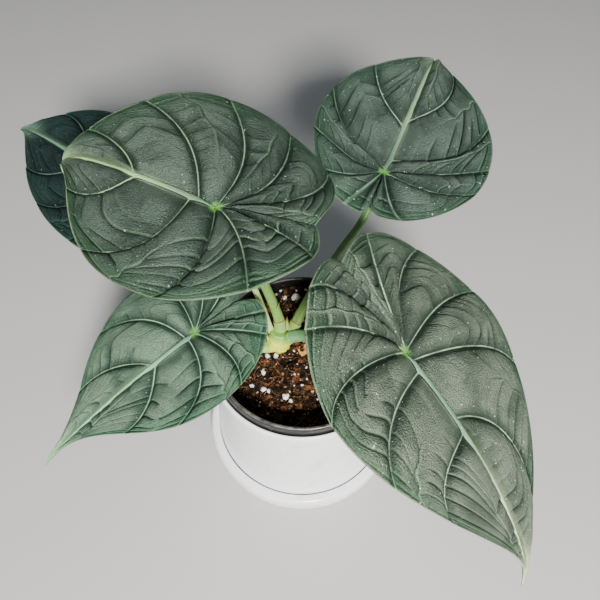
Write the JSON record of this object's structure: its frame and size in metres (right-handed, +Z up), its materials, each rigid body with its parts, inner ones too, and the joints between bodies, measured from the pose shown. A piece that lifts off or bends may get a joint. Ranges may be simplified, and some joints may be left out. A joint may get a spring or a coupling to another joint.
{
  "type": "potted plant",
  "caption": "Potted foliage plant with large quilted peltate blades on arching stalks, in a nursery pot hung inside a glossy cylindrical pot with saucer.",
  "frame": {"origin": "centre of the saucer's underside, on the pot's axis", "axes": "+Z up, -Y towards the front, from where the plant is seen, +X to the right"},
  "size_m": [0.2878, 0.2807, 0.2173],
  "materials": {
    "white_plastic": "glossy white injection-moulded plastic",
    "black_plastic": "thin black thermoformed plastic, satin, with a bright worn lip",
    "soil": "loose potting mix of peat, coir and perlite",
    "bark": "rough orange-brown bark",
    "crown_green": "smooth yellow-green living tissue",
    "stalk_green": "smooth pale green living tissue",
    "leaf_green": "grey-green quilted blade with a faint silvery sheen and pale veins"
  },
  "bodies": {
    "root": {"saucer": "white_plastic", "outer_pot": "white_plastic", "nursery_pot": "black_plastic", "soil": "soil", "bark_chip": "bark", "crown": "crown_green", "petiole_1": "stalk_green", "petiole_2": "stalk_green", "petiole_3": "stalk_green", "petiole_4": "stalk_green", "petiole_5": "stalk_green", "leaf_blade_1": "leaf_green", "leaf_blade_2": "leaf_green", "leaf_blade_3": "leaf_green", "leaf_blade_4": "leaf_green", "leaf_blade_5": "leaf_green"}
  },
  "joints": []
}
